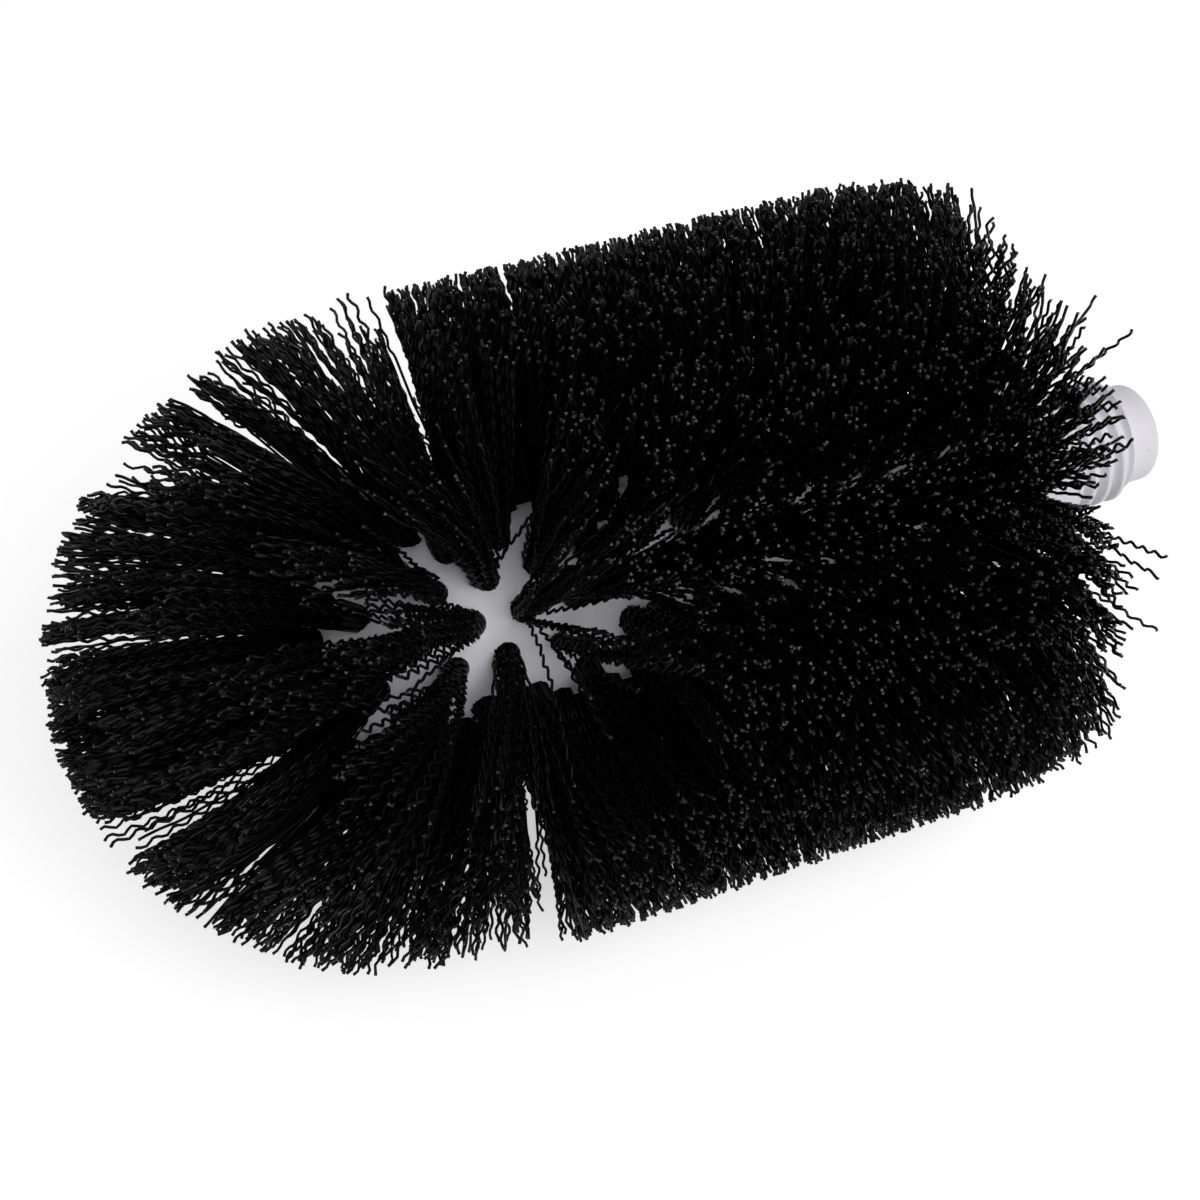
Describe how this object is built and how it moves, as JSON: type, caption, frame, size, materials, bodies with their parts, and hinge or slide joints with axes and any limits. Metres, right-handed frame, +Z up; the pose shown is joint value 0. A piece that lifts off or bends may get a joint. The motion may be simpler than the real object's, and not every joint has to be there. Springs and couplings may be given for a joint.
{
  "type": "floor drain brush",
  "caption": "Cylindrical drain brush head with a domed nose, black crimped bristle tufts on a white plastic block and a male threaded stub for a handle.",
  "frame": {"origin": "on the surface the brush lies on, under the middle of its length and width", "axes": "+X along the brush's axis from the domed nose to the threaded stub, +Z up, +Y across"},
  "size_m": [0.1708, 0.0958, 0.0954],
  "materials": {
    "white_plastic": "white moulded and drilled plastic, satin",
    "black_filament": "black crimped plastic filament with a soft sheen and paler cut ends",
    "anchor_wire": "flat drawn wire, cut to length"
  },
  "bodies": {
    "root": {"brush_block": "white_plastic", "handle_stub": "white_plastic", "tuft_row_nose_cap": "black_filament", "tuft_row_nose_collar": "black_filament", "tuft_row_01": "black_filament", "tuft_row_02": "black_filament", "tuft_row_03": "black_filament", "tuft_row_04": "black_filament", "tuft_row_05": "black_filament", "tuft_row_06": "black_filament", "tuft_row_07": "black_filament", "tuft_row_08": "black_filament", "tuft_row_09": "black_filament", "tuft_row_10": "black_filament", "tuft_row_11": "black_filament", "tuft_row_12": "black_filament", "tuft_row_13": "black_filament", "anchor_ring04_1": "anchor_wire", "anchor_ring04_2": "anchor_wire", "anchor_ring04_3": "anchor_wire", "anchor_ring04_4": "anchor_wire", "anchor_ring04_5": "anchor_wire", "anchor_ring04_6": "anchor_wire", "anchor_ring04_7": "anchor_wire", "anchor_ring04_8": "anchor_wire", "anchor_ring05_1": "anchor_wire", "anchor_ring05_2": "anchor_wire", "anchor_ring05_3": "anchor_wire", "anchor_ring05_4": "anchor_wire", "anchor_ring05_5": "anchor_wire", "anchor_ring05_6": "anchor_wire", "anchor_ring05_7": "anchor_wire", "anchor_ring05_8": "anchor_wire", "anchor_ring06_1": "anchor_wire", "anchor_ring06_2": "anchor_wire", "anchor_ring06_3": "anchor_wire", "anchor_ring06_4": "anchor_wire", "anchor_ring06_5": "anchor_wire", "anchor_ring06_6": "anchor_wire", "anchor_ring06_7": "anchor_wire", "anchor_ring06_8": "anchor_wire", "anchor_ring07_1": "anchor_wire", "anchor_ring07_2": "anchor_wire", "anchor_ring07_3": "anchor_wire", "anchor_ring07_4": "anchor_wire", "anchor_ring07_5": "anchor_wire", "anchor_ring07_6": "anchor_wire", "anchor_ring07_7": "anchor_wire", "anchor_ring07_8": "anchor_wire", "anchor_ring08_1": "anchor_wire", "anchor_ring08_2": "anchor_wire", "anchor_ring08_3": "anchor_wire", "anchor_ring08_4": "anchor_wire", "anchor_ring08_5": "anchor_wire", "anchor_ring08_6": "anchor_wire", "anchor_ring08_7": "anchor_wire", "anchor_ring08_8": "anchor_wire"}
  },
  "joints": []
}
